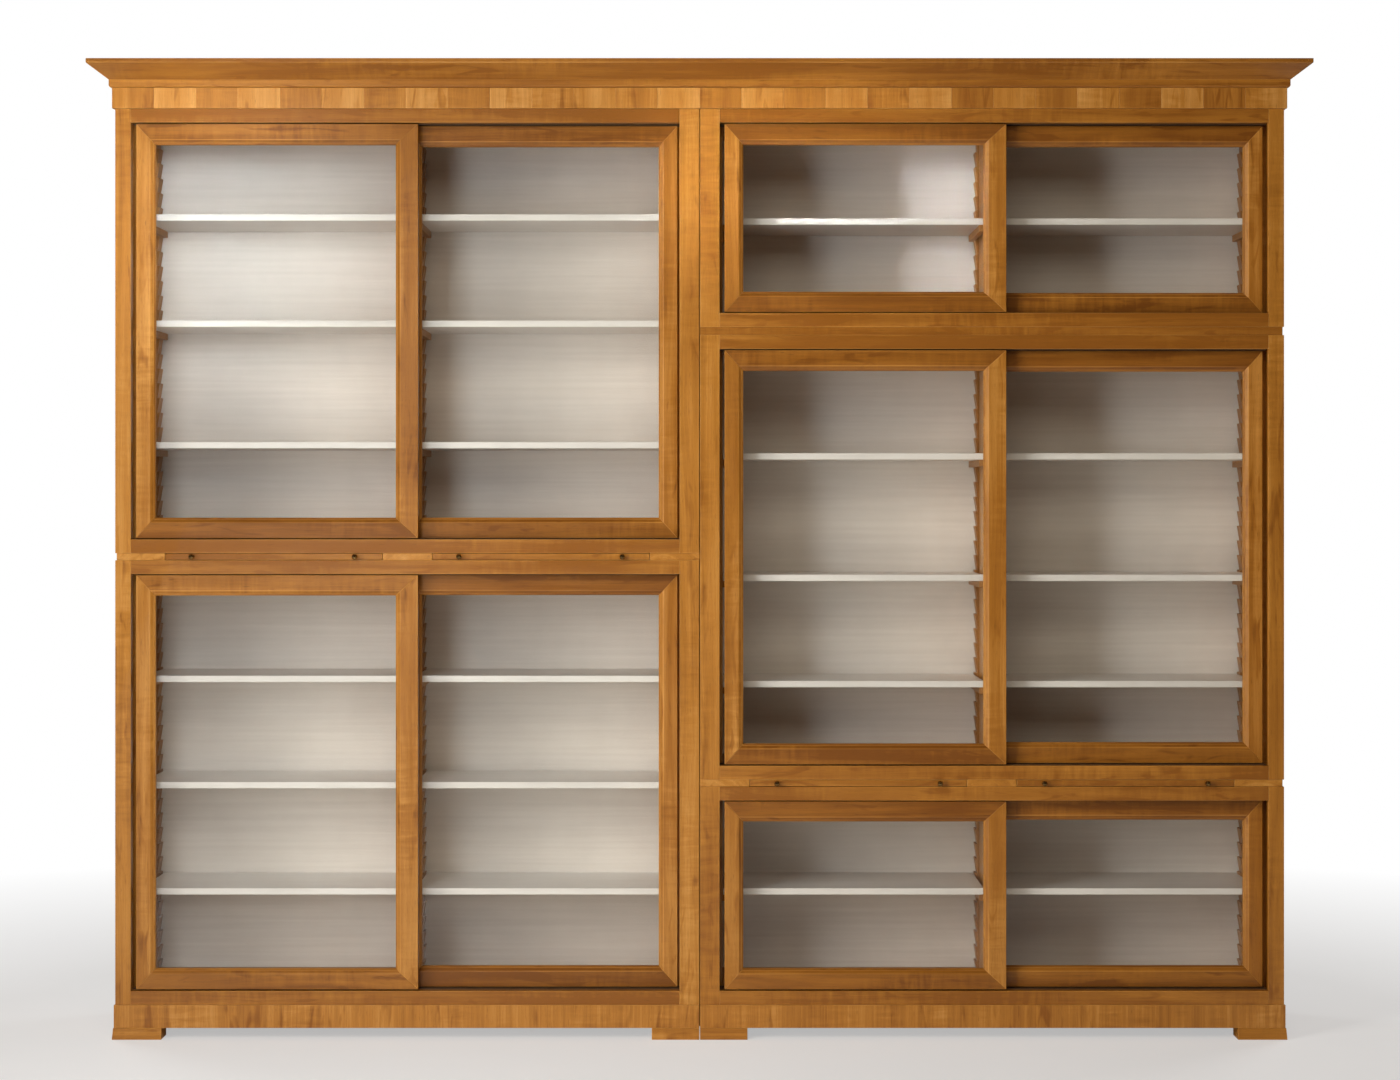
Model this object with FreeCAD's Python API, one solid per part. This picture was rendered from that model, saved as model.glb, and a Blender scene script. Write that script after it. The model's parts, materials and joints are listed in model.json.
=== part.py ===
import FreeCAD, Part
import os

# A modular glass-fronted bookcase: two columns of stacked cases side by side, each case
# closed by two framed glass doors that slide past each other. Millimetres, +Z up, the
# front faces -Y, X = 0 is the seam between the columns and the floor is at Z = 0.
#
# A depth is measured back from the front of the face frames. A notch number counts the
# ledges of the shelf racks up from the case floor.

V = FreeCAD.Vector

# ---- Driving dimensions ---------------------------------------------------------------
COLUMN_W = 1430.0
CASE_DEPTH = 380.0
SEAM_EASE = 1.0          # face frames and plinths stop this far short of the seam plane
TALL_H = 1088.0
SMALL_H = 534.0
SLIDE_STRIP_H = 17.0
SPACER_H = 20.0
STRIP_INSET = 3.0        # the strips between cases stand back from the case faces
FOOT_H = 28.0
PLINTH_H = 56.0

# Cases
OUTER_STILE = 38.0
SEAM_STILE = 48.0
RAIL_H = 34.0
FRAME_T = 22.0
STILE_LIP = 10.0         # a stile overhangs the side panel behind it
TRACK_DROP = 5.0         # the case floor and ceiling lie this far outside the opening
BACK_FACE = 368.0        # depth of the back panel's front
BACK_T = 8.0

# Dividers, racks and shelves
DIVIDER_T = 12.0
INTERIOR_FRONT = 84.0    # depth of the divider's and the front racks' front edges
RACK_W = 44.0
REAR_RACK = 312.0        # depth of the rear racks' front faces
WALL_RACK_ROOT = 12.0
DIVIDER_RACK_ROOT = 4.0
TOOTH = 6.0
NOTCH_PITCH = 37.6
FIRST_LEDGE = 20.1       # above the bottom of the case opening
CLEAT_W = 15.0
CLEAT_H = 16.0
CLEAT_BITE = 3.0         # how far a cleat reaches over a ledge
SHELF_T = 16.0
SHELF_FRONT = 80.0
SHELF_BACK = 366.0
SHELF_PLAY = 1.0
DUST_STRIP_W = 18.0      # strips up the case walls that close the gaps beside the doors
DUST_STRIP_T = 8.0
DUST_STRIP_DEPTH = 74.0

# Doors
DOOR_T = 28.0
FRONT_DOOR_DEPTH = 6.0
REAR_DOOR_DEPTH = 44.0
FRONT_DOOR_W = 690.0
REAR_DOOR_W = 676.0
FRONT_DOOR_GAP = 12.0    # from the left stile to the closed front door
REAR_DOOR_GAP = 6.0      # from the closed rear door to the right stile
DOOR_CLEARANCE = 3.0     # above and below a door
DOOR_STILE = 42.0
MEETING_STILE = 51.0     # the front door's right stile is wider
DOOR_RAIL = 46.0
CHAMFER_W = 8.0
CHAMFER_D = 5.0
BEAD = 4.0
GLASS_DEPTH = 12.0       # from the door's face to the glass
GLASS_T = 4.0
BACK_BEAD_T = 6.0
GLASS_PLAY = 1.0
TONGUE_T = 4.0
TONGUE_PLAY = 0.5
RIB_T = 3.0
RIB_H = 7.0
FRONT_TONGUE = 28.5      # depth of the middle of the front door's tongues
REAR_TONGUE = 58.0

# Pull-out reading slides
SLIDE_MARGIN = 121.0
SLIDE_DEPTH = 300.0
SLIDE_PLAY = 1.0
SLIDE_STOP = 320.0       # depth of the rail behind the slides
KNOB_INSET = 67.0
KNOB_R = 7.0
KNOB_REACH = 14.0        # from the slide's edge to the middle of the ball
KNOB_ROSE_R = 5.6
KNOB_ROSE_T = 2.0
KNOB_NECK_R = 3.2

# Plinth and feet
PLINTH_PROUD = 3.0
PLINTH_T = 22.0
FOOT_W = 117.0
FOOT_D = 60.0
FOOT_PROUD = 1.5
FOOT_FLARE = 2.5

# Cornice
FRIEZE_H = 50.0
FRIEZE_PROUD = 6.5
BEAD_H = 19.0
BEAD_PROUD = 13.0
BEAD_R = 6.0
CROWN_H = 45.0
CROWN_PROUD = 59.0
CROWN_EDGE_H = 10.0      # upright top edge of the crown
CROWN_ARRIS = 2.0
CORNICE_BACK = 13.5      # the mouldings reach this far behind the case faces
FRIEZE_BLOCKS = 14       # blocks of cross-grained veneer over each column
RETURN_BLOCKS = 4
TOP_BOARD_T = 18.0

# Joining plates and their screws
PLATE_W = 60.0
PLATE_H = 100.0
PLATE_T = 2.0
PLATE_SHARES = (0.15, 0.5, 0.85)   # where the plates stand along a column
TIE_W = 160.0
TIE_DEPTHS = (95.0, 266.0)
SCREW_R = 4.0
SCREW_HEAD = 1.5
SCREW_INSET = 12.0       # from a plate's far ends to the screws' middles

# ---- Derived places -------------------------------------------------------------------
FRONT_Y = (CROWN_PROUD - CASE_DEPTH) / 2
BOARDS_BACK = BACK_FACE + BACK_T
STACK_FOOT = FOOT_H + PLINTH_H

COLUMNS = {
    "left": {
        "x0": -COLUMN_W,
        "x1": -SEAM_EASE,
        "stiles": (OUTER_STILE, SEAM_STILE),
        "sides": (-COLUMN_W, 0.0),
    },
    "right": {
        "x0": SEAM_EASE,
        "x1": COLUMN_W,
        "stiles": (SEAM_STILE, OUTER_STILE),
        "sides": (0.0, COLUMN_W),
    },
}

# What stands on each plinth, from the bottom up: kind, name, height, shelf notches.
STACKS = {
    "left": (
        ("case", "lower_left", TALL_H, (6, 13, 20)),
        ("slides", "left", SLIDE_STRIP_H, ()),
        ("case", "upper_left", TALL_H, (6, 14, 21)),
    ),
    "right": (
        ("case", "base_right", SMALL_H, (6,)),
        ("slides", "right", SLIDE_STRIP_H, ()),
        ("case", "middle_right", TALL_H, (5, 12, 20)),
        ("spacer", "right", SPACER_H, ()),
        ("case", "top_right", SMALL_H, (6,)),
    ),
}


# ---- Helpers --------------------------------------------------------------------------
def board(x0, x1, d0, d1, z0, z1):
    """A plain board between two X, two depths and two heights."""
    return Part.makeBox(x1 - x0, d1 - d0, z1 - z0, V(x0, FRONT_Y + d0, z0))


def skin(ring_a, ring_b):
    """The flat-faced solid between two rings of points that match one to one."""
    count = len(ring_a)
    outlines = [ring_a[::-1], ring_b]
    for i in range(count):
        j = (i + 1) % count
        outlines.append([ring_a[i], ring_a[j], ring_b[j], ring_b[i]])
    faces = [Part.Face(Part.makePolygon(outline + outline[:1])) for outline in outlines]
    solid = Part.makeSolid(Part.makeShell(faces))
    return Part.makeSolid(Part.makeShell(solid.Faces))


def extruded(points, push):
    """A flat outline of points pushed along a vector."""
    return Part.Face(Part.makePolygon(points + points[:1])).extrude(push)


def mitred_frame(outer, inner, section, depth):
    """Four mitred members between two rectangles (x0, z0, x1, z1).

    section(width) gives one member's outline as (distance in from the outer edge,
    depth behind the front) points."""
    ox0, oz0, ox1, oz1 = outer
    ix0, iz0, ix1, iz1 = inner
    corners = [
        ((ox0, oz0), (ix0, iz0)),
        ((ox1, oz0), (ix1, iz0)),
        ((ox1, oz1), (ix1, iz1)),
        ((ox0, oz1), (ix0, iz1)),
    ]
    widths = [iz0 - oz0, ox1 - ix1, oz1 - iz1, ix0 - ox0]
    members = []
    for i, width in enumerate(widths):
        rings = []
        for (ax, az), (bx, bz) in (corners[i], corners[(i + 1) % 4]):
            ring = []
            for inward, back in section(width):
                share = inward / width
                x = ax + (bx - ax) * share
                z = az + (bz - az) * share
                ring.append(V(x, FRONT_Y + depth + back, z))
            rings.append(ring)
        members.append(skin(rings[0], rings[1]))
    return members


def cornice_run(section):
    """A moulding along the front and both ends, from its (projection, height) outline."""
    rings = {}
    for side in (-1, 1):
        rings[side, "front"] = [V(side * (COLUMN_W + p), FRONT_Y - p, z) for p, z in section]
        rings[side, "back"] = [V(side * (COLUMN_W + p), FRONT_Y + CASE_DEPTH, z)
                               for p, z in section]
    pieces = [skin(rings[-1, "front"], rings[1, "front"])]
    for side in (-1, 1):
        pieces.append(skin(rings[side, "front"], rings[side, "back"]))
    return pieces


def rounded(solid, radius, chosen):
    """The solid with each straight edge that passes the test rounded off."""
    edges = [edge for edge in solid.Edges if all(chosen(v.Point) for v in edge.Vertexes)]
    return solid.makeFillet(radius, edges).Solids[0]


# ---- Cases ----------------------------------------------------------------------------
def opening(column):
    """The case opening's left and right X."""
    left_stile, right_stile = column["stiles"]
    return column["x0"] + left_stile, column["x1"] - right_stile


def divider_middle(column):
    x0, x1 = opening(column)
    return (x0 + x1) / 2


def bays(column):
    """Each bay as its two walls: (wall X, direction into the bay, root of the rack there)."""
    x0, x1 = opening(column)
    middle = divider_middle(column)
    left_wall = (x0 - STILE_LIP, 1, WALL_RACK_ROOT)
    right_wall = (x1 + STILE_LIP, -1, WALL_RACK_ROOT)
    divider_left = (middle - DIVIDER_T / 2, -1, DIVIDER_RACK_ROOT)
    divider_right = (middle + DIVIDER_T / 2, 1, DIVIDER_RACK_ROOT)
    return (left_wall, divider_left), (divider_right, right_wall)


def ledge_z(z0, notch):
    return z0 + RAIL_H + FIRST_LEDGE + (notch - 1) * NOTCH_PITCH


def face_frame(column, z0, z1):
    x0, x1 = opening(column)
    return [
        board(column["x0"], x0, 0, FRAME_T, z0, z1),
        board(x1, column["x1"], 0, FRAME_T, z0, z1),
        board(x0, x1, 0, FRAME_T, z0, z0 + RAIL_H),
        board(x0, x1, 0, FRAME_T, z1 - RAIL_H, z1),
    ]


def carcass(column, z0, z1):
    """The sides, floor, ceiling and divider, and a dust strip up each wall behind the doors."""
    x0, x1 = opening(column)
    left_face, right_face = column["sides"]
    floor_t = RAIL_H - TRACK_DROP
    floor_z = z0 + floor_t
    ceiling_z = z1 - floor_t
    inner_x0 = x0 - STILE_LIP
    inner_x1 = x1 + STILE_LIP
    middle = divider_middle(column)
    pieces = [
        board(left_face, inner_x0, FRAME_T, CASE_DEPTH, z0, z1),
        board(inner_x1, right_face, FRAME_T, CASE_DEPTH, z0, z1),
        board(inner_x0, inner_x1, FRAME_T, BOARDS_BACK, z0, floor_z),
        board(inner_x0, inner_x1, FRAME_T, BOARDS_BACK, ceiling_z, z1),
        board(middle - DIVIDER_T / 2, middle + DIVIDER_T / 2, INTERIOR_FRONT, BACK_FACE,
              floor_z, ceiling_z),
    ]
    for left in (inner_x0, inner_x1 - DUST_STRIP_W):
        pieces.append(board(left, left + DUST_STRIP_W, DUST_STRIP_DEPTH, DUST_STRIP_DEPTH + DUST_STRIP_T,
                            floor_z, ceiling_z))
    return pieces


def back_panel(column, z0, z1):
    x0, x1 = opening(column)
    floor_t = RAIL_H - TRACK_DROP
    return board(x0 - STILE_LIP, x1 + STILE_LIP, BACK_FACE, BOARDS_BACK, z0 + floor_t, z1 - floor_t)


def rack(wall, depth, z0, z1):
    """One saw-toothed rack: each tooth has a level ledge and slopes back to the one below."""
    wall_x, direction, root = wall
    floor_z = z0 + RAIL_H - TRACK_DROP
    ceiling_z = z1 - RAIL_H + TRACK_DROP
    outline = [(0, floor_z), (root, floor_z)]
    notch = 1
    while ledge_z(z0, notch) < ceiling_z - NOTCH_PITCH / 2:
        ledge = ledge_z(z0, notch)
        outline += [(root + TOOTH, ledge), (root, ledge)]
        notch += 1
    outline += [(root, ceiling_z), (0, ceiling_z)]
    points = [V(wall_x + direction * out, FRONT_Y + depth, z) for out, z in outline]
    return extruded(points, V(0, RACK_W, 0))


def racks(column, z0, z1):
    pieces = []
    for bay in bays(column):
        for wall in bay:
            for depth in (INTERIOR_FRONT, REAR_RACK):
                pieces.append(rack(wall, depth, z0, z1))
    return pieces


def cleats(column, z0, notches):
    """The bearer under each shelf end, lying in the front and the rear rack."""
    pieces = []
    for notch in notches:
        ledge = ledge_z(z0, notch)
        for bay in bays(column):
            for wall_x, direction, root in bay:
                inner = wall_x + direction * (root + TOOTH - CLEAT_BITE)
                x0, x1 = sorted((inner, inner + direction * CLEAT_W))
                pieces.append(board(x0, x1, INTERIOR_FRONT, REAR_RACK + RACK_W, ledge, ledge + CLEAT_H))
    return pieces


def shelves(column, z0, notches):
    pieces = []
    for notch in notches:
        bottom = ledge_z(z0, notch) + CLEAT_H
        for bay in bays(column):
            ends = [wall_x + direction * (root + TOOTH + SHELF_PLAY) for wall_x, direction, root in bay]
            pieces.append(board(ends[0], ends[1], SHELF_FRONT, SHELF_BACK, bottom, bottom + SHELF_T))
    return pieces


def door_tracks(column, z0, z1):
    """A pair of ribs below and above each door, one each side of its tongue."""
    x0, x1 = opening(column)
    floor_z = z0 + RAIL_H - TRACK_DROP
    ceiling_z = z1 - RAIL_H + TRACK_DROP
    half_slot = TONGUE_T / 2 + TONGUE_PLAY
    ribs = []
    for tongue in (FRONT_TONGUE, REAR_TONGUE):
        for d0 in (tongue - half_slot - RIB_T, tongue + half_slot):
            ribs.append(board(x0, x1, d0, d0 + RIB_T, floor_z, floor_z + RIB_H))
            ribs.append(board(x0, x1, d0, d0 + RIB_T, ceiling_z - RIB_H, ceiling_z))
    return ribs


# ---- Doors ----------------------------------------------------------------------------
def frame_section(width):
    """A door member: square outside, chamfered along its inner front edge."""
    return [(0, 0), (width - CHAMFER_W, 0), (width, CHAMFER_D), (width, DOOR_T), (0, DOOR_T)]


def front_bead_section(width):
    return [(0, CHAMFER_D), (width, GLASS_DEPTH - BEAD), (width, GLASS_DEPTH), (0, GLASS_DEPTH)]


def back_bead_section(width):
    glass_back = GLASS_DEPTH + GLASS_T
    bead_back = glass_back + BACK_BEAD_T
    return [(0, glass_back), (width, glass_back), (width, bead_back - BEAD / 2), (0, bead_back)]


def door(x0, x1, depth, tongue, stiles, z0, z1):
    """A door's wooden pieces and its pane, closing a case from z0 to z1."""
    low = z0 + RAIL_H + DOOR_CLEARANCE
    high = z1 - RAIL_H - DOOR_CLEARANCE
    outer = (x0, low, x1, high)
    inner = (x0 + stiles[0], low + DOOR_RAIL, x1 - stiles[1], high - DOOR_RAIL)
    sight = (inner[0] + BEAD, inner[1] + BEAD, inner[2] - BEAD, inner[3] - BEAD)
    wood = mitred_frame(outer, inner, frame_section, depth)
    wood += mitred_frame(inner, sight, front_bead_section, depth)
    wood += mitred_frame(inner, sight, back_bead_section, depth)

    reach = DOOR_CLEARANCE + TRACK_DROP - TONGUE_PLAY
    for bottom, top in ((low - reach, low), (high, high + reach)):
        wood.append(board(x0, x1, tongue - TONGUE_T / 2, tongue + TONGUE_T / 2, bottom, top))

    pane = board(inner[0] + GLASS_PLAY, inner[2] - GLASS_PLAY, depth + GLASS_DEPTH,
                 depth + GLASS_DEPTH + GLASS_T, inner[1] + GLASS_PLAY, inner[3] - GLASS_PLAY)
    return wood, [pane]


def front_door(column, z0, z1):
    left = opening(column)[0] + FRONT_DOOR_GAP
    stiles = (DOOR_STILE, MEETING_STILE)
    return door(left, left + FRONT_DOOR_W, FRONT_DOOR_DEPTH, FRONT_TONGUE, stiles, z0, z1)


def rear_door(column, z0, z1):
    right = opening(column)[1] - REAR_DOOR_GAP
    stiles = (DOOR_STILE, DOOR_STILE)
    return door(right - REAR_DOOR_W, right, REAR_DOOR_DEPTH, REAR_TONGUE, stiles, z0, z1)


# ---- Strips between the cases ---------------------------------------------------------
def strip_ends(column):
    """A strip stands in from the column's outer side, and meets the seam."""
    left_face, right_face = column["sides"]
    if right_face == 0:
        return left_face + STRIP_INSET, right_face
    return left_face, right_face - STRIP_INSET


def slide_bays(column):
    """The two reading slides' left and right X: equal margins left, between and right."""
    x0, x1 = column["x0"], column["x1"]
    width = (x1 - x0 - 3 * SLIDE_MARGIN) / 2
    first = x0 + SLIDE_MARGIN
    second = first + width + SLIDE_MARGIN
    return (first, first + width), (second, second + width)


def slide_housing(column, z0, z1):
    x0, x1 = strip_ends(column)
    (a0, a1), (b0, b1) = slide_bays(column)
    blocks = [(x0, a0), (a1, b0), (b1, x1)]
    pieces = [board(left, right, STRIP_INSET, BOARDS_BACK, z0, z1) for left, right in blocks]
    pieces += [board(left, right, SLIDE_STOP, BOARDS_BACK, z0, z1) for left, right in ((a0, a1), (b0, b1))]
    return pieces


def slide_board(x0, x1, z0, z1):
    return board(x0 + SLIDE_PLAY, x1 - SLIDE_PLAY, STRIP_INSET, STRIP_INSET + SLIDE_DEPTH,
                 z0 + SLIDE_PLAY, z1 - SLIDE_PLAY)


def knob(x, z):
    """A small turned knob: rose, neck and ball."""
    face = V(x, FRONT_Y + STRIP_INSET, z)
    out = V(0, -1, 0)
    rose = Part.makeCylinder(KNOB_ROSE_R, KNOB_ROSE_T, face, out)
    neck = Part.makeCylinder(KNOB_NECK_R, KNOB_REACH, face, out)
    ball = Part.makeSphere(KNOB_R, face + out * KNOB_REACH)
    return rose.fuse([neck, ball]).removeSplitter().Solids[0]


def slide_knobs(x0, x1, z0, z1):
    return [knob(x, (z0 + z1) / 2) for x in (x0 + KNOB_INSET, x1 - KNOB_INSET)]


def spacer(column, z0, z1):
    x0, x1 = strip_ends(column)
    return board(x0, x1, STRIP_INSET, BOARDS_BACK, z0, z1)


# ---- Plinth and feet ------------------------------------------------------------------
def plinth_fronts():
    pieces = []
    for x0, x1 in ((-COLUMN_W - PLINTH_PROUD, -SEAM_EASE), (SEAM_EASE, COLUMN_W + PLINTH_PROUD)):
        pieces.append(board(x0, x1, -PLINTH_PROUD, PLINTH_T - PLINTH_PROUD, FOOT_H, STACK_FOOT))
    return pieces


def plinth_returns():
    pieces = []
    outer = COLUMN_W + PLINTH_PROUD
    for near, far in ((0, PLINTH_T), (outer - PLINTH_T, outer)):
        for side in (-1, 1):
            x0, x1 = sorted((side * near, side * far))
            pieces.append(board(x0, x1, PLINTH_T - PLINTH_PROUD, CASE_DEPTH, FOOT_H, STACK_FOOT))
    return pieces


def rear_rails():
    """The boards along the back of each plinth and of the cornice."""
    near = PLINTH_T
    far = COLUMN_W + PLINTH_PROUD - PLINTH_T
    pieces = []
    for side in (-1, 1):
        x0, x1 = sorted((side * near, side * far))
        pieces.append(board(x0, x1, BOARDS_BACK - PLINTH_T, BOARDS_BACK, FOOT_H, STACK_FOOT))
    half = COLUMN_W - CORNICE_BACK
    stack_top = STACK_FOOT + 2 * TALL_H + SLIDE_STRIP_H
    rail_top = stack_top + FRIEZE_H + BEAD_H + CROWN_H - TOP_BOARD_T
    pieces.append(board(-half, half, CASE_DEPTH - TOP_BOARD_T, CASE_DEPTH, stack_top, rail_top))
    return pieces


def foot(side, near, far, at_front, flares):
    """A block that spreads a little towards the floor on the faces that show."""
    rings = []
    for z, spread in ((0, FOOT_FLARE), (FOOT_H, 0)):
        end = side * (far + (FOOT_PROUD + spread if flares else 0))
        start = side * near
        if at_front:
            d0 = -PLINTH_PROUD - FOOT_PROUD - spread
            d1 = d0 + FOOT_D + spread
        else:
            d0 = CASE_DEPTH - FOOT_D
            d1 = CASE_DEPTH
        rings.append([V(start, FRONT_Y + d0, z), V(end, FRONT_Y + d0, z),
                      V(end, FRONT_Y + d1, z), V(start, FRONT_Y + d1, z)])
    return skin(rings[0], rings[1])


def plinth_feet():
    outer = COLUMN_W + PLINTH_PROUD
    pieces = []
    for side in (-1, 1):
        for at_front in (True, False):
            pieces.append(foot(side, SEAM_EASE if at_front else 0, FOOT_W, at_front, False))
            pieces.append(foot(side, outer - FOOT_W, outer, at_front, True))
    return pieces


# ---- Cornice --------------------------------------------------------------------------
def frieze(z0):
    """Blocks of cross-grained wood, edge to edge along the front and both ends."""
    half = COLUMN_W + FRIEZE_PROUD
    pitch = half / FRIEZE_BLOCKS
    z1 = z0 + FRIEZE_H
    pieces = []
    for i in range(-FRIEZE_BLOCKS, FRIEZE_BLOCKS):
        pieces.append(board(i * pitch, (i + 1) * pitch, -FRIEZE_PROUD, CORNICE_BACK, z0, z1))
    pitch = (CASE_DEPTH - CORNICE_BACK) / RETURN_BLOCKS
    for side in (-1, 1):
        x0, x1 = sorted((side * half, side * (COLUMN_W - CORNICE_BACK)))
        for i in range(RETURN_BLOCKS):
            d0 = CORNICE_BACK + i * pitch
            pieces.append(board(x0, x1, d0, d0 + pitch, z0, z1))
    return pieces


def cornice_bead(z0):
    """A flat fillet with a rounded lower edge, over the frieze."""
    z1 = z0 + BEAD_H
    pieces = cornice_run([(-CORNICE_BACK, z0), (BEAD_PROUD, z0), (BEAD_PROUD, z1), (-CORNICE_BACK, z1)])
    out_x = COLUMN_W + BEAD_PROUD
    out_y = FRONT_Y - BEAD_PROUD

    def lower_front(point):
        return abs(point.z - z0) < 0.01 and abs(point.y - out_y) < 0.01

    def lower_end(point):
        return abs(point.z - z0) < 0.01 and abs(abs(point.x) - out_x) < 0.01

    tests = (lower_front, lower_end, lower_end)
    return [rounded(piece, BEAD_R, test) for piece, test in zip(pieces, tests)]


def cornice_crown(z0):
    """The sloping crown moulding with an upright top edge."""
    z1 = z0 + CROWN_H
    slope_top = z1 - CROWN_EDGE_H - CROWN_ARRIS
    return cornice_run([(-CORNICE_BACK, z0), (BEAD_PROUD, z0), (CROWN_PROUD - CROWN_ARRIS, slope_top),
                        (CROWN_PROUD, slope_top + CROWN_ARRIS), (CROWN_PROUD, z1), (-CORNICE_BACK, z1)])


def cornice_top_boards(z1):
    half = COLUMN_W - CORNICE_BACK
    z0 = z1 - TOP_BOARD_T
    return [board(x0, x1, CORNICE_BACK, CASE_DEPTH, z0, z1) for x0, x1 in ((-half, 0), (0, half))]


# ---- Joining hardware -----------------------------------------------------------------
def plate_places(joints):
    """Middles of the steel plates across each joint between stacked pieces, on the back."""
    return [(column["x0"] + COLUMN_W * share, z) for column, z in joints for share in PLATE_SHARES]


def joining_plates(joints, stack_top):
    """The plates on the back, and the two ties that hold the columns together on top."""
    pieces = []
    for x, z in plate_places(joints):
        pieces.append(board(x - PLATE_W / 2, x + PLATE_W / 2, BOARDS_BACK, BOARDS_BACK + PLATE_T,
                            z - PLATE_H / 2, z + PLATE_H / 2))
    for depth in TIE_DEPTHS:
        pieces.append(board(-TIE_W / 2, TIE_W / 2, depth, depth + PLATE_W / 2,
                            stack_top, stack_top + PLATE_T))
    return pieces


def joining_screws(joints, stack_top):
    heads = []
    half_up = PLATE_H / 2 - SCREW_INSET
    for x, z in plate_places(joints):
        for dx in (-PLATE_W / 4, PLATE_W / 4):
            for dz in (-half_up, half_up):
                base = V(x + dx, FRONT_Y + BOARDS_BACK + PLATE_T, z + dz)
                heads.append(Part.makeCylinder(SCREW_R, SCREW_HEAD, base, V(0, 1, 0)))
    half_along = TIE_W / 2 - SCREW_INSET
    for depth in TIE_DEPTHS:
        for x in (-half_along, half_along):
            base = V(x, FRONT_Y + depth + PLATE_W / 4, stack_top + PLATE_T)
            heads.append(Part.makeCylinder(SCREW_R, SCREW_HEAD, base, V(0, 0, 1)))
    return heads


# ---- Assembly -------------------------------------------------------------------------
def add_case(nodes, column, name, z0, z1, notches):
    nodes["carcass_" + name] = carcass(column, z0, z1)
    nodes["face_frame_" + name] = face_frame(column, z0, z1)
    nodes["shelves_" + name] = shelves(column, z0, notches)
    nodes["front_door_frame_" + name], nodes["front_door_glass_" + name] = front_door(column, z0, z1)
    nodes["rear_door_frame_" + name], nodes["rear_door_glass_" + name] = rear_door(column, z0, z1)
    nodes["back_panels"].append(back_panel(column, z0, z1))
    nodes["shelf_racks"] += racks(column, z0, z1)
    nodes["shelf_cleats"] += cleats(column, z0, notches)
    nodes["door_tracks"] += door_tracks(column, z0, z1)


def add_slides(nodes, column, name, z0, z1):
    nodes["slide_housing_" + name] = slide_housing(column, z0, z1)
    places = ("outer", "inner") if name == "left" else ("inner", "outer")
    for place, (x0, x1) in zip(places, slide_bays(column)):
        nodes["slide_board_%s_%s" % (name, place)] = [slide_board(x0, x1, z0, z1)]
        nodes["slide_knobs_%s_%s" % (name, place)] = slide_knobs(x0, x1, z0, z1)


def build():
    nodes = {"back_panels": [], "shelf_racks": [], "shelf_cleats": [], "door_tracks": []}
    joints = []
    for side, stack in STACKS.items():
        column = COLUMNS[side]
        z0 = STACK_FOOT
        joints.append((column, z0))
        for kind, name, height, notches in stack:
            z1 = z0 + height
            if kind == "case":
                add_case(nodes, column, name, z0, z1, notches)
            elif kind == "slides":
                add_slides(nodes, column, name, z0, z1)
                joints.append((column, (z0 + z1) / 2))
            else:
                nodes["spacer_strip"] = [spacer(column, z0, z1)]
                joints.append((column, (z0 + z1) / 2))
            z0 = z1
    stack_top = z0
    bead_foot = stack_top + FRIEZE_H
    crown_foot = bead_foot + BEAD_H
    nodes["plinth_fronts"] = plinth_fronts()
    nodes["plinth_returns"] = plinth_returns()
    nodes["plinth_feet"] = plinth_feet()
    nodes["rear_rails"] = rear_rails()
    nodes["cornice_frieze"] = frieze(stack_top)
    nodes["cornice_bead"] = cornice_bead(bead_foot)
    nodes["cornice_crown"] = cornice_crown(crown_foot)
    nodes["cornice_top_boards"] = cornice_top_boards(crown_foot + CROWN_H)
    nodes["joining_plates"] = joining_plates(joints, stack_top)
    nodes["joining_screws"] = joining_screws(joints, stack_top)
    return nodes


NODES = build()
os.makedirs("parts", exist_ok=True)
for node, solids in NODES.items():
    shape = solids[0] if len(solids) == 1 else Part.makeCompound(solids)
    shape.exportStep("parts/%s.step" % node)
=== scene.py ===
import bmesh
import bpy
import json
import math
import random
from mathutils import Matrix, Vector


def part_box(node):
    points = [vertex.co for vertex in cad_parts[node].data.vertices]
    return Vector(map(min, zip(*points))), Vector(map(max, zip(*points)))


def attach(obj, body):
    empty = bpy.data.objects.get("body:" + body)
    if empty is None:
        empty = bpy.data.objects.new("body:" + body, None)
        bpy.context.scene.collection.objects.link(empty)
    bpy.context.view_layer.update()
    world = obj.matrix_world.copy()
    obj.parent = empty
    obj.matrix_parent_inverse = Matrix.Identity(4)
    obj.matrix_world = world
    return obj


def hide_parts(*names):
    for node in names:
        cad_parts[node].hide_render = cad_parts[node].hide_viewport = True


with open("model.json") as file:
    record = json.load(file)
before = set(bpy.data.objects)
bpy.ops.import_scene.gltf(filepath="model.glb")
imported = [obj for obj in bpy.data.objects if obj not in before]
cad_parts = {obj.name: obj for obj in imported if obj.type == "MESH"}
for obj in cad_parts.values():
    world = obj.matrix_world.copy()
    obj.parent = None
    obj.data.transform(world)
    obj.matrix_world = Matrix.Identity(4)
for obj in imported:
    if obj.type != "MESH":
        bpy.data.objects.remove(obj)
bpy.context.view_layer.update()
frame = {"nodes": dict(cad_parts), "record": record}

# ---- Camera -----------------------------------------------------------------------------
FACE_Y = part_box("face_frame_upper_left")[0][1]    # the front of the face frames
CAMERA_BACK = 6.6        # metres from the face frames
EYE_LEVEL = 1.314
EYE_X = 0.018
SHIFT_X, SHIFT_Y = -0.005, -0.027
FOCAL_WIDTHS = 1.927     # focal length over the picture's width
SENSOR = 36.0
FAR_CLIP = 200.0

# ---- Light ------------------------------------------------------------------------------
WHITE = (0.96, 0.98, 1.0)
WARM = (1.0, 0.92, 0.82)
WARMER = (1.0, 0.88, 0.72)
ROOM_TINT = (1.0, 0.70, 0.45, 1.0)
ROOM_STRENGTH = 0.10
BACKS_Y = FACE_Y + 0.37                           # about where the back panels stand

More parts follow.
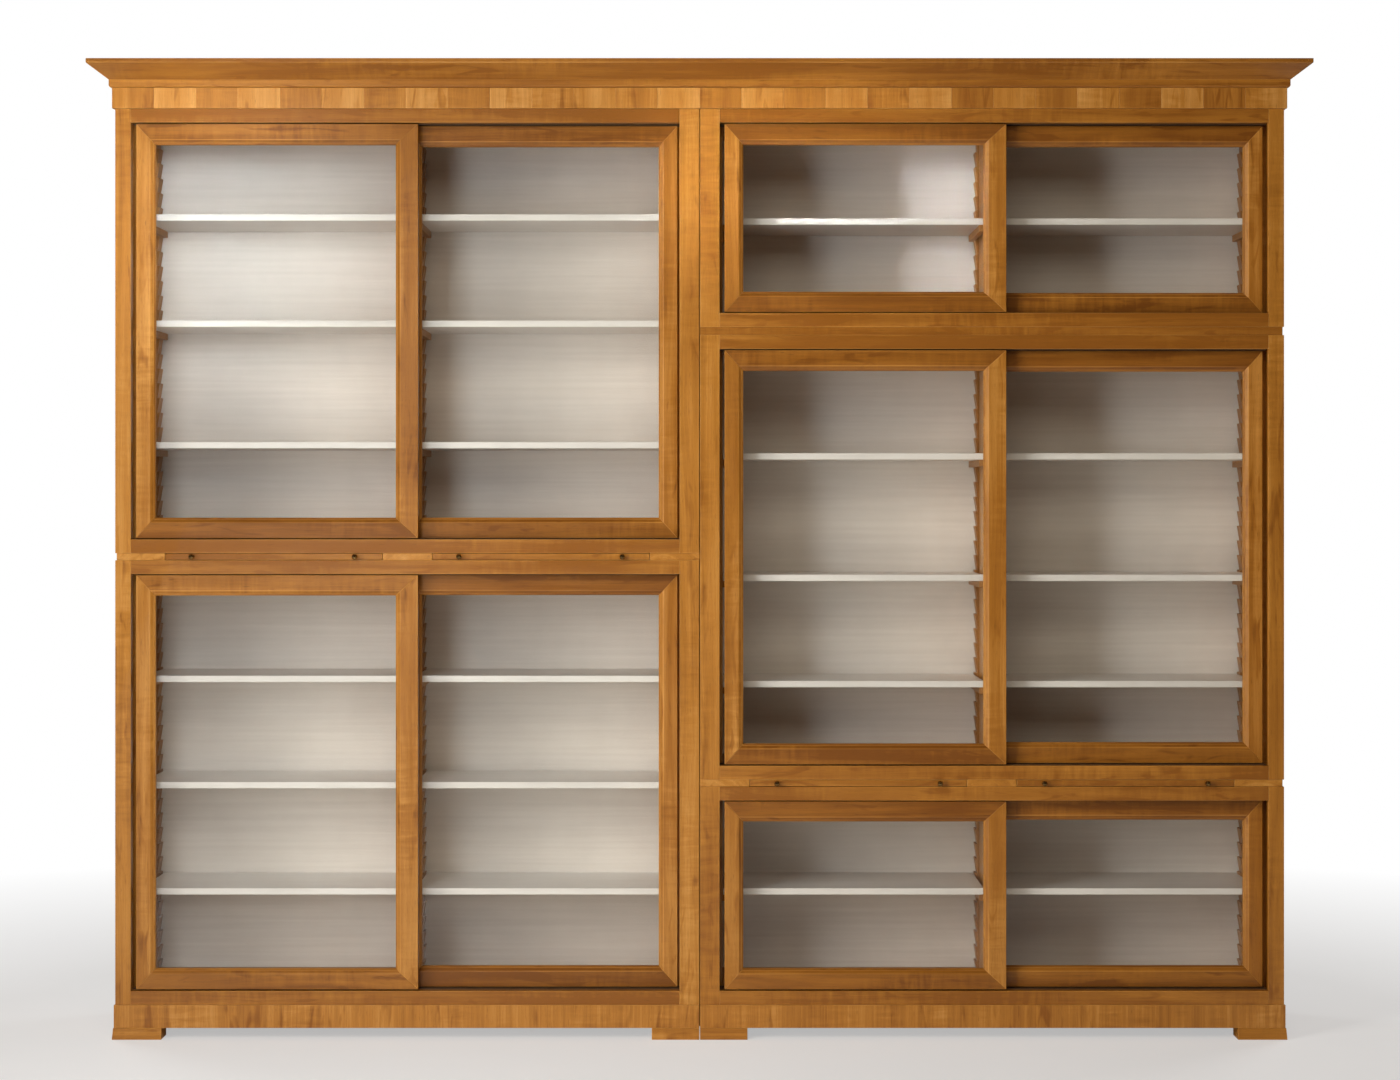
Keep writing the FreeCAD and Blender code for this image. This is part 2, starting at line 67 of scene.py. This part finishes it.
# ---- Edges and tones --------------------------------------------------------------------
FLAT = math.radians(1.0)      # faces that turn less than this become one flat face
SHARP = math.radians(20.0)    # edges that turn more than this are eased
WOOD_EASE = 0.0011            # metres, as the widths in EASES are
EASES = {"clear_glass": 0.0005, "brass": 0.0003, "track_plastic": 0.0004,
         "zinc_steel": 0.0003, "white_lacquer": 0.0012, "rack_wood": 0.0006}

# A tone is added to the shade of a piece's wood: below 0 is darker, above 0 is lighter.
BLOCK_CONTRAST = 0.11         # light and dark blocks of the frieze, by turns
BLOCK_VARIETY = 0.3           # the share of the usual spread that a block keeps
TONE_SPREAD = 0.08            # from board to board
LENGTHWAYS_PAINTED_SHADE = 0.24      # painted shade for boards that lie across the front: the sheen they lose to light from the left, and the face frame's shadow on door top rails
BACKING_BOUNCE_MARK = 1.0            # marks the back panels, whose lacquer is tinted warmer as painted bounce light from the wood of the bays
# Tones for whole nodes, partly painted shade. The crown, the lower left face frame and the plinth
# fronts are darker where less light reaches them. The feet are lifted to undo most of the
# lengthways painted shade. The other face frames and the two door frames are only made a little
# darker or lighter, and the back panels' entry marks them for their tint.
NODE_TONES_AND_PAINTED_SHADE = {
    "back_panels": BACKING_BOUNCE_MARK,
    "cornice_crown": -0.06,
    "face_frame_upper_left": -0.04,
    "face_frame_lower_left": -0.10,
    "face_frame_middle_right": -0.07,
    "face_frame_base_right": -0.05,
    "front_door_frame_lower_left": 0.06,
    "rear_door_frame_middle_right": 0.06,
    "plinth_fronts": -0.11,
    "plinth_feet": 0.22,
}


# ---- Node trees -------------------------------------------------------------------------
class Tree:
    """A material's node tree, with one short call for each node."""

    def __init__(self, name):
        self.material = bpy.data.materials.new(name)
        self.material.use_nodes = True
        self.tree = self.material.node_tree
        self.tree.nodes.clear()

    def feed(self, socket, value):
        if isinstance(value, bpy.types.NodeSocket):
            self.tree.links.new(value, socket)
        elif value is not None:
            socket.default_value = value

    def node(self, kind, settings=None, **inputs):
        node = self.tree.nodes.new(kind)
        for key, value in (settings or {}).items():
            setattr(node, key, value)
        for key, value in inputs.items():
            self.feed(node.inputs[key.replace("_", " ")], value)
        return node

    def attribute(self, name):
        return self.node("ShaderNodeAttribute", {"attribute_name": name})

    def maths(self, operation, a, b):
        node = self.node("ShaderNodeMath", {"operation": operation})
        self.feed(node.inputs[0], a)
        self.feed(node.inputs[1], b)
        return node.outputs[0]

    def scaled(self, vector, scale):
        node = self.node("ShaderNodeVectorMath", {"operation": "MULTIPLY"})
        self.feed(node.inputs[0], vector)
        self.feed(node.inputs[1], scale)
        return node.outputs[0]

    def noise(self, vector, scale, detail=3.0, roughness=0.55, distortion=0.0):
        node = self.node("ShaderNodeTexNoise", Vector=self.scaled(vector, scale), Scale=1.0,
                         Detail=detail, Roughness=roughness, Distortion=distortion)
        return node.outputs["Fac"]

    def spread(self, value, low, high, to_low=0.0, to_high=1.0):
        """The value, stretched from one range to another and held inside it."""
        node = self.node("ShaderNodeMapRange", Value=value)
        node.inputs["From Min"].default_value = low
        node.inputs["From Max"].default_value = high
        node.inputs["To Min"].default_value = to_low
        node.inputs["To Max"].default_value = to_high
        return node.outputs["Result"]

    def ramp(self, value, *stops):
        node = self.node("ShaderNodeValToRGB", Fac=value)
        elements = node.color_ramp.elements
        while len(elements) < len(stops):
            elements.new(0.5)
        for element, (place, colour) in zip(elements, stops):
            element.position = place
            element.color = (*colour, 1.0)
        return node.outputs["Color"]

    def mixed(self, share, a, b, blend="MIX"):
        node = self.node("ShaderNodeMix", {"data_type": "RGBA", "blend_type": blend})
        self.feed(node.inputs["Factor"], share)
        self.feed(node.inputs[6], a if not isinstance(a, tuple) else (*a, 1.0))
        self.feed(node.inputs[7], b if not isinstance(b, tuple) else (*b, 1.0))
        return node.outputs[2]

    def bump(self, height, strength, distance):
        node = self.node("ShaderNodeBump", Height=height, Strength=strength, Distance=distance)
        return node.outputs["Normal"]

    def output(self, shader):
        node = self.node("ShaderNodeOutputMaterial")
        self.tree.links.new(shader, node.inputs["Surface"])
        return self.material

    def principled(self, colour, roughness, normal=None, **constants):
        node = self.node("ShaderNodeBsdfPrincipled", Base_Color=colour, Roughness=roughness)
        self.feed(node.inputs["Normal"], normal)
        for key, value in constants.items():
            node.inputs[key.replace("_", " ")].default_value = value
        return self.output(node.outputs["BSDF"])


# ---- Materials --------------------------------------------------------------------------
# Colours are linear. A wood has three, from its darkest grain to its lightest.
CHERRY = ((0.255, 0.091, 0.0095), (0.44, 0.186, 0.025), (0.63, 0.325, 0.080))
DOOR = ((0.185, 0.062, 0.0065), (0.355, 0.141, 0.0165), (0.58, 0.285, 0.062))
VENEER = ((0.26, 0.092, 0.010), (0.45, 0.192, 0.029), (0.65, 0.340, 0.094))
RACK = ((0.22, 0.085, 0.020), (0.38, 0.175, 0.050), (0.55, 0.30, 0.11))
LACQUER = ((0.80, 0.79, 0.775), (0.90, 0.895, 0.885))
LACQUER_EDGE = (0.86, 0.855, 0.845)
LACQUER_SPECK = (0.55, 0.52, 0.47)
# Warm tint for the back panels only: painted bounce light from the wood in the shaded bays.
BACKING_BOUNCE_TINT = (0.985, 0.945, 0.91)
GLASS_TINTS = ((0.958, 0.962, 0.956), (0.978, 0.982, 0.976))
# The brass colours are kept dark for age, and as painted shade on the knobs.
AGED_BRASS_WITH_SHADE = ((0.15, 0.085, 0.035), (0.42, 0.29, 0.12))
TRACK_BROWNS = ((0.055, 0.028, 0.013), (0.11, 0.065, 0.035))
ZINC_GREYS = ((0.44, 0.44, 0.43), (0.62, 0.62, 0.61))

# How often each pattern of the wood repeats in a metre: along the grain, then across it.
WOOD_SCALES = {
    "drift": (1.1, 5.0, 5.0),
    "blotch": (2.6, 9.0, 9.0),
    "streak": (2.2, 62.0, 62.0),
    "flame": (6.0, 30.0, 30.0),
    "fibre": (16.0, 640.0, 640.0),
    "curl": (58.0, 9.0, 9.0),
    "curly": (3.1, 11.0, 11.0),
    "pores": (46.0, 1300.0, 1300.0),
    "gum": (26.0, 260.0, 260.0),
}
RING_WANDER = 0.030           # metres that a growth ring strays from round
GROWTH_RINGS, FINE_RINGS = (75.0, 0.5), (380.0, 1.6)    # in a metre across, then along


def wood(name, colours, gloss=0.34, coat=0.12):
    """Lacquered wood. The grain attribute holds a point's place in its own log: along the grain
    first, then the two directions across it, measured from the heart of the log."""
    dark, middle, light = colours
    t = Tree(name)
    grain = t.attribute("grain").outputs["Vector"]
    tone = t.attribute("tone").outputs["Fac"]
    edge = t.attribute("edge").outputs["Fac"]

    drift = t.node("ShaderNodeTexNoise", Vector=t.scaled(grain, WOOD_SCALES["drift"]),
                   Scale=1.0, Detail=2.0)
    shift = t.node("ShaderNodeVectorMath", {"operation": "MULTIPLY_ADD"})
    t.feed(shift.inputs[0], drift.outputs["Color"])
    shift.inputs[1].default_value = (0.0, RING_WANDER, RING_WANDER)
    t.feed(shift.inputs[2], grain)
    reach = t.node("ShaderNodeVectorMath", {"operation": "LENGTH"})
    t.feed(reach.inputs[0], t.scaled(shift.outputs[0], (0.0, 1.0, 1.0)))
    length = t.node("ShaderNodeSeparateXYZ", Vector=grain).outputs["X"]

    def along_rings(scales):
        across = t.maths("MULTIPLY", reach.outputs["Value"], scales[0])
        place = t.node("ShaderNodeCombineXYZ", X=across, Y=t.maths("MULTIPLY", length, scales[1]))
        return t.noise(place.outputs[0], (1.0, 1.0, 1.0), 2.0)

    def pattern(name, detail, roughness=0.55, distortion=0.0):
        return t.noise(grain, WOOD_SCALES[name], detail, roughness, distortion)

    growth = along_rings(GROWTH_RINGS)
    rings = along_rings(FINE_RINGS)
    blotch = pattern("blotch", 3.0)
    streak = pattern("streak", 3.0, 0.6, 0.3)
    fibre = pattern("fibre", 2.0, 0.6)
    curl = pattern("curl", 2.0, 0.6, 0.6)
    curly = t.spread(pattern("curly", 1.0), 0.42, 0.66)
    pores = pattern("pores", 1.0)
    gum = pattern("gum", 2.0)
    flame = pattern("flame", 2.0, 0.5, 1.2)

    # The patterns add up to one shade, which the ramp turns into a colour.
    shade = t.maths("ADD", tone, 0.5)
    layers = ((blotch, 0.62), (growth, 0.55), (streak, 0.42), (rings, 0.30), (fibre, 0.22))
    for layer, weight in layers:
        shade = t.maths("ADD", shade, t.maths("MULTIPLY", t.maths("SUBTRACT", layer, 0.5), weight))
    silk = t.maths("MULTIPLY", t.maths("SUBTRACT", curl, 0.5), curly)
    shade = t.maths("ADD", shade, t.maths("MULTIPLY", silk, 0.62))
    shade = t.maths("ADD", shade, t.spread(flame, 0.60, 0.74, 0.0, -0.30))
    colour = t.ramp(shade, (0.14, dark), (0.5, middle), (0.86, light))

    # Open pores, specks of gum, and eased edges made paler, partly as wear and partly as a painted
    # highlight along them.
    dash = t.spread(pores, 0.30, 0.37, 0.38, 0.0)
    colour = t.mixed(dash, colour, tuple(0.5 * c for c in dark))
    fleck = t.spread(gum, 0.70, 0.76, 0.0, 0.45)
    colour = t.mixed(fleck, colour, tuple(0.42 * c for c in dark))
    wear_and_highlight = t.maths("MULTIPLY", edge, t.spread(blotch, 0.35, 0.65, 0.10, 0.50))
    colour = t.mixed(wear_and_highlight, colour, tuple(min(1.0, 1.12 * c) for c in light))

    roughness = t.spread(t.maths("ADD", streak, silk), 0.35, 0.65, gloss - 0.05, gloss + 0.12)
    height = t.maths("SUBTRACT", t.maths("ADD", fibre, t.maths("MULTIPLY", rings, 0.6)),
                     t.maths("MULTIPLY", dash, 1.4))
    normal = t.bump(height, 0.25, 0.0004)
    return t.principled(colour, roughness, normal, Coat_Weight=coat, Coat_Roughness=0.16)


def white_lacquer():
    """White lacquer over veneer, with the grain just showing through."""
    t = Tree("white_lacquer")
    grain = t.attribute("grain").outputs["Vector"]
    edge = t.attribute("edge").outputs["Fac"]
    cloud = t.noise(grain, (1.6, 4.0, 4.0), 3.0)
    veneer = t.noise(grain, (2.2, 90.0, 90.0), 3.0, 0.55, 0.3)
    peel = t.noise(grain, (150.0, 150.0, 150.0), 1.0)
    speck = t.noise(grain, (90.0, 90.0, 90.0), 4.0, 0.7)
    # The back panels get a warmer copy of the lacquer: painted bounce light from the wood around
    # them.
    bounce_tint_share = t.spread(t.attribute("tone").outputs["Fac"], 0.5, 1.0)
    share = t.maths("ADD", t.maths("MULTIPLY", cloud, 0.5), t.maths("MULTIPLY", veneer, 0.5))
    colour = t.ramp(share, (0.34, LACQUER[0]), (0.62, LACQUER[1]))
    colour = t.mixed(bounce_tint_share, colour, t.mixed(1.0, colour, BACKING_BOUNCE_TINT, "MULTIPLY"))
    colour = t.mixed(t.spread(speck, 0.68, 0.78, 0.0, 0.08), colour, LACQUER_SPECK)
    colour = t.mixed(t.maths("MULTIPLY", edge, 0.5), colour, LACQUER_EDGE)
    roughness = t.spread(t.maths("ADD", cloud, peel), 0.7, 1.3, 0.34, 0.50)
    height = t.maths("ADD", peel, veneer)
    return t.principled(colour, roughness, t.bump(height, 0.05, 0.0002),
                        Coat_Weight=0.08, Coat_Roughness=0.25)


def clear_glass():
    """A thin pane: mostly see-through, with a mirror that grows towards glancing angles."""
    t = Tree("clear_glass")
    place = t.node("ShaderNodeTexCoord").outputs["Object"]
    ripple = t.noise(place, (2.2, 2.2, 1.1), 2.0)
    film = t.noise(place, (9.0, 9.0, 6.0), 4.0, 0.6)
    facing = t.node("ShaderNodeLayerWeight", Blend=0.5).outputs["Facing"]
    glancing = t.maths("POWER", facing, 5.0)
    mirror = t.maths("ADD", t.maths("MULTIPLY", glancing, 0.9), 0.035)
    tint = t.ramp(film, (0.35, GLASS_TINTS[0]), (0.7, GLASS_TINTS[1]))
    gloss = t.node("ShaderNodeBsdfGlossy", Color=(1.0, 1.0, 1.0, 1.0),
                   Roughness=t.spread(film, 0.35, 0.75, 0.01, 0.09),
                   Normal=t.bump(ripple, 0.05, 0.002))
    clear = t.node("ShaderNodeBsdfTransparent", Color=tint)
    mix = t.node("ShaderNodeMixShader")
    t.feed(mix.inputs["Fac"], mirror)
    t.feed(mix.inputs[1], clear.outputs[0])
    t.feed(mix.inputs[2], gloss.outputs[0])
    return t.output(mix.outputs[0])


def brass():
    """Aged brass, darkened overall as painted shade on the small knobs, and darkest where it has
    tarnished.
    """
    t = Tree("brass")
    place = t.node("ShaderNodeTexCoord").outputs["Object"]
    tarnish = t.noise(place, (160.0, 160.0, 160.0), 4.0, 0.6)
    lines = t.noise(place, (900.0, 2600.0, 900.0), 2.0)
    colour = t.ramp(tarnish, (0.3, AGED_BRASS_WITH_SHADE[0]), (0.65, AGED_BRASS_WITH_SHADE[1]))
    roughness = t.spread(t.maths("ADD", tarnish, lines), 0.7, 1.3, 0.12, 0.34)
    return t.principled(colour, roughness, t.bump(lines, 0.15, 0.0001), Metallic=1.0)


def track_plastic():
    """Brown drawn plastic with dust in it."""
    t = Tree("track_plastic")
    place = t.node("ShaderNodeTexCoord").outputs["Object"]
    drawn = t.noise(place, (3.0, 900.0, 900.0), 2.0)
    dust = t.noise(place, (40.0, 200.0, 200.0), 4.0, 0.7)
    colour = t.ramp(dust, (0.35, TRACK_BROWNS[0]), (0.75, TRACK_BROWNS[1]))
    roughness = t.spread(drawn, 0.3, 0.7, 0.38, 0.58)
    return t.principled(colour, roughness, t.bump(drawn, 0.12, 0.0002))


def zinc_steel():
    """Zinc-plated steel with a faint spangle."""
    t = Tree("zinc_steel")
    place = t.node("ShaderNodeTexCoord").outputs["Object"]
    cell = t.node("ShaderNodeTexVoronoi", Vector=place, Scale=130.0).outputs["Color"]
    haze = t.noise(place, (60.0, 60.0, 60.0), 4.0, 0.6)
    grey = t.ramp(haze, (0.3, ZINC_GREYS[0]), (0.7, ZINC_GREYS[1]))
    colour = t.mixed(0.12, grey, cell, "OVERLAY")
    roughness = t.spread(haze, 0.3, 0.7, 0.30, 0.46)
    return t.principled(colour, roughness, t.bump(haze, 0.08, 0.0002), Metallic=1.0)


MATERIALS = {
    "cherry_wood": wood("cherry_wood", CHERRY),
    "door_wood": wood("door_wood", DOOR),
    "cross_veneer": wood("cross_veneer", VENEER),
    "rack_wood": wood("rack_wood", RACK, gloss=0.45, coat=0.04),
    "white_lacquer": white_lacquer(),
    "clear_glass": clear_glass(),
    "brass": brass(),
    "track_plastic": track_plastic(),
    "zinc_steel": zinc_steel(),
}


# ---- Pieces -----------------------------------------------------------------------------
def solids(mesh):
    """The node's separate solids, each as the faces that close round it, in corner places. A solid
    is whole when every edge has been walked both ways, so solids that touch stay apart."""
    found = []
    faces = []
    waiting = {}
    for polygon in mesh.polygons:
        ring = [tuple(round(x, 5) for x in mesh.vertices[i].co) for i in polygon.vertices]
        faces.append(ring)
        for start, end in zip(ring, ring[1:] + ring[:1]):
            if start == end:
                continue
            if waiting.get((end, start)):
                waiting[end, start] -= 1
                if not waiting[end, start]:
                    del waiting[end, start]
            else:
                waiting[start, end] = waiting.get((start, end), 0) + 1
        if not waiting:
            found.append(faces)
            faces = []
    return found


def solid_mesh(faces, ease):
    """One solid with flat faces made whole and its sharp edges eased."""
    bm = bmesh.new()
    corners = {}
    for ring in faces:
        for place in ring:
            if place not in corners:
                corners[place] = bm.verts.new(place)
    for ring in faces:
        rim = [corners[place] for place in ring]
        if len(set(rim)) == len(rim) and bm.faces.get(rim) is None:
            bm.faces.new(rim)
    bmesh.ops.dissolve_limit(bm, angle_limit=FLAT, verts=bm.verts, edges=bm.edges)
    bmesh.ops.recalc_face_normals(bm, faces=bm.faces)
    edge_layer = bm.faces.layers.float.new("edge")
    sharp = [edge for edge in bm.edges
             if len(edge.link_faces) == 2 and edge.calc_face_angle(0) > SHARP]
    eased = bmesh.ops.bevel(bm, geom=sharp, offset=ease, offset_type="OFFSET", segments=2,
                            profile=0.6, affect="EDGES", clamp_overlap=True)
    for face in eased["faces"]:
        face[edge_layer] = 1.0
    return bm


LOG_REACH = 9.0                 # metres along the log that a board may come from
HEART_DISTANCE = (0.03, 0.11)   # metres between the log's heart and the board
NARROW = 0.05                   # metres: narrower boards are moved aside as if this wide
ASIDE = 2.2                     # how far aside, in widths of the board


def write_grain(bm, draw, upright, shade):
    """Gives the solid its own place in a log, with the grain along its length."""
    grain = bm.verts.layers.float_vector.new("grain")
    tone = bm.verts.layers.float.new("tone")
    low = [min(vert.co[axis] for vert in bm.verts) for axis in range(3)]
    high = [max(vert.co[axis] for vert in bm.verts) for axis in range(3)]
    sizes = [high[axis] - low[axis] for axis in range(3)]
    along = 2 if upright else sizes.index(max(sizes))
    across = [axis for axis in range(3) if axis != along]
    wide, thick = sorted(across, key=lambda axis: -sizes[axis])
    half = sizes[wide] / 2
    start = draw.uniform(-LOG_REACH, LOG_REACH)
    aside = draw.uniform(-0.5, 0.5) * max(sizes[wide], NARROW) * ASIDE
    depth = draw.uniform(*HEART_DISTANCE)
    # Boards that lie across the front are darkened: painted shade for their lost sheen and for the
    # face frame's shadow on door top rails.
    if along == 0:
        shade -= LENGTHWAYS_PAINTED_SHADE
    for vert in bm.verts:
        place = vert.co
        vert[grain] = Vector((place[along] + start,
                              place[wide] - low[wide] - half + aside,
                              place[thick] - low[thick] + depth))
        vert[tone] = shade


def left_to_right(faces):
    """Where a solid starts, for sorting: by its left end, then from the front to the back."""
    return min((round(place[0], 3), round(-place[1], 3)) for ring in faces for place in ring)


def finished(node, body, slot, ease):
    """The piece that stands for a CAD node: the same solids with eased edges and a real finish."""
    draw = random.Random(node)
    mesh = bpy.data.meshes.new(node + "_finished")
    whole = bmesh.new()
    rows = solids(frame["nodes"][node].data)
    if node == "cornice_frieze":
        rows.sort(key=left_to_right)
    for i, faces in enumerate(rows):
        bm = solid_mesh(faces, ease)
        shade = draw.uniform(-TONE_SPREAD, TONE_SPREAD)
        if node == "cornice_frieze":
            shade = BLOCK_VARIETY * shade + (BLOCK_CONTRAST if i % 2 else -BLOCK_CONTRAST)
        # Whole-node tones: the crown, the lower left face frame and the plinth fronts are darkened
        # here as painted shade.
        shade += NODE_TONES_AND_PAINTED_SHADE.get(node, 0.0)
        write_grain(bm, draw, slot == "cross_veneer", shade)
        part = bpy.data.meshes.new("part")
        bm.to_mesh(part)
        bm.free()
        whole.from_mesh(part)
        bpy.data.meshes.remove(part)
    whole.to_mesh(mesh)
    whole.free()
    mesh.shade_smooth()
    piece = bpy.data.objects.new(node + "_finished", mesh)
    bpy.context.scene.collection.objects.link(piece)
    weigh = piece.modifiers.new("even_shading", "WEIGHTED_NORMAL")
    weigh.weight = 100
    mesh.materials.append(MATERIALS[slot])
    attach(piece, body)
    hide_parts(node)
    return piece


def finish_nodes():
    """Finishes every node of every body, in the record's order."""
    slots = {row["node"]: row["material_slot"] for row in frame["record"]["subparts"]}
    for body, nodes in frame["record"]["behaviour"]["bodies"].items():
        for node in nodes:
            slot = slots[node]
            finished(node, body, slot, EASES.get(slot, WOOD_EASE))


# ---- Stage, light and camera ------------------------------------------------------------
FLOOR_RADIUS = 40.0
FLOOR_OVAL = (0.8, 1.0, 0.0)    # the pale part reaches further to the sides
FLOOR_FADE = (1.5, 3.4)         # metres out, from where it starts to whiten to plain white


def pale_floor():
    """A pale floor that the camera sees turn to plain white some metres out. It only looks bright:
    to every other ray it is a matt floor, so it doesn't light the bookcase from below."""
    mesh = bpy.data.meshes.new("floor")
    bm = bmesh.new()
    bmesh.ops.create_circle(bm, cap_ends=True, segments=96, radius=FLOOR_RADIUS)
    bm.to_mesh(mesh)
    bm.free()
    floor = bpy.data.objects.new("floor", mesh)
    bpy.context.scene.collection.objects.link(floor)
    t = Tree("pale_floor")
    place = t.node("ShaderNodeTexCoord").outputs["Object"]
    cloud = t.noise(place, (1.5, 1.5, 1.5), 4.0)
    colour = t.ramp(cloud, (0.3, (0.84, 0.84, 0.835)), (0.7, (0.88, 0.88, 0.875)))
    reach = t.node("ShaderNodeVectorMath", {"operation": "LENGTH"})
    t.feed(reach.inputs[0], t.scaled(place, FLOOR_OVAL))
    seen = t.node("ShaderNodeLightPath").outputs["Is Camera Ray"]
    glow = t.maths("MULTIPLY", seen, t.spread(reach.outputs["Value"], *FLOOR_FADE, 0.45, 1.0))
    matt = t.node("ShaderNodeBsdfPrincipled", Base_Color=colour, Roughness=0.7)
    shine = t.node("ShaderNodeEmission", Color=(1.0, 1.0, 1.0, 1.0), Strength=1.0)
    mix = t.node("ShaderNodeMixShader")
    t.feed(mix.inputs["Fac"], glow)
    t.feed(mix.inputs[1], matt.outputs[0])
    t.feed(mix.inputs[2], shine.outputs[0])
    mesh.materials.append(t.output(mix.outputs[0]))


def white_room():
    """Dim warm light from all round, as in a wooden room. The camera sees it as plain white."""
    world = bpy.data.worlds.new("white_room")
    world.use_nodes = True
    tree = world.node_tree
    tree.nodes.clear()
    path = tree.nodes.new("ShaderNodeLightPath")
    lit = tree.nodes.new("ShaderNodeBackground")
    lit.inputs["Color"].default_value = ROOM_TINT
    lit.inputs["Strength"].default_value = ROOM_STRENGTH
    seen = tree.nodes.new("ShaderNodeBackground")
    seen.inputs["Color"].default_value = (1.0, 1.0, 1.0, 1.0)
    seen.inputs["Strength"].default_value = 1.0
    mix = tree.nodes.new("ShaderNodeMixShader")
    out = tree.nodes.new("ShaderNodeOutputWorld")
    tree.links.new(path.outputs["Is Camera Ray"], mix.inputs["Fac"])
    tree.links.new(lit.outputs[0], mix.inputs[1])
    tree.links.new(seen.outputs[0], mix.inputs[2])
    tree.links.new(mix.outputs[0], out.inputs["Surface"])
    bpy.context.scene.world = world


def soft_light(name, place, target, size, power, tint=WHITE, beam=180.0, mirrored=False):
    """A soft box of a width and height in metres and a power in watts. Its beam is in degrees. One
    that isn't mirrored leaves no bright patch in the panes."""
    data = bpy.data.lights.new(name, "AREA")
    data.shape = "RECTANGLE"
    data.size, data.size_y = size
    data.energy = power
    data.color = tint
    data.spread = math.radians(beam)
    light = bpy.data.objects.new(name, data)
    light.location = place
    light.rotation_euler = (Vector(target) - Vector(place)).to_track_quat("-Z", "Y").to_euler()
    light.visible_glossy = mirrored
    bpy.context.scene.collection.objects.link(light)


def lamps():
    # From the left, as a tall window would.
    soft_light("key", (-2.9, FACE_Y - 3.1, 1.6), (1.6, FACE_Y, 1.15),
               (2.2, 2.6), 28.0, WARM, beam=80.0)
    soft_light("near_key", (-1.15, FACE_Y - 2.2, 1.62), (-1.3, FACE_Y, 1.1), (0.5, 1.9), 25.0)
    # Warm light thrown back by the floor and by the room.
    soft_light("low_fill", (-1.0, FACE_Y - 2.4, 0.35), (-0.5, FACE_Y, 1.3),
               (2.4, 0.5), 9.5, WARMER)
    soft_light("overhead", (0.0, FACE_Y - 5.0, 3.4), (0.0, FACE_Y, 1.2),
               (3.0, 1.5), 54.0, WARMER)
    # The only one that the metal and the panes mirror.
    soft_light("glint", (-4.2, FACE_Y - 3.4, 3.6), (0.0, FACE_Y, 1.3),
               (1.2, 1.2), 10.0, mirrored=True)
    # Narrow beams for the bays that stand brightest.
    soft_light("top_bay", (-1.25, FACE_Y - 1.1, 2.15), (0.66, BACKS_Y, 2.08),
               (0.15, 0.3), 0.75, beam=22.0)
    soft_light("left_bays", (-0.75, FACE_Y - 1.9, 2.10), (-1.38, BACKS_Y, 2.08),
               (0.3, 0.5), 1.0, beam=30.0)
    # For the back and the sides, seen from behind.
    soft_light("rear_right", (3.6, 2.8, 3.2), (0.6, 0.2, 1.1), (2.0, 2.0), 70.0)
    soft_light("rear_left", (-3.6, 2.8, 3.2), (-0.6, 0.2, 1.1), (2.0, 2.0), 70.0)


def camera():
    """Looks straight at the front from a standing eye."""
    data = bpy.data.cameras.new("camera")
    data.sensor_width = SENSOR
    data.lens = FOCAL_WIDTHS * SENSOR
    data.shift_x = SHIFT_X
    data.shift_y = SHIFT_Y
    data.clip_end = FAR_CLIP
    eye = bpy.data.objects.new("camera", data)
    eye.location = (EYE_X, FACE_Y - CAMERA_BACK, EYE_LEVEL)
    eye.rotation_euler = (math.radians(90.0), 0.0, 0.0)
    bpy.context.scene.collection.objects.link(eye)
    bpy.context.scene.camera = eye


camera()
finish_nodes()
pale_floor()
white_room()
lamps()
bpy.context.scene.view_settings.view_transform = "Standard"
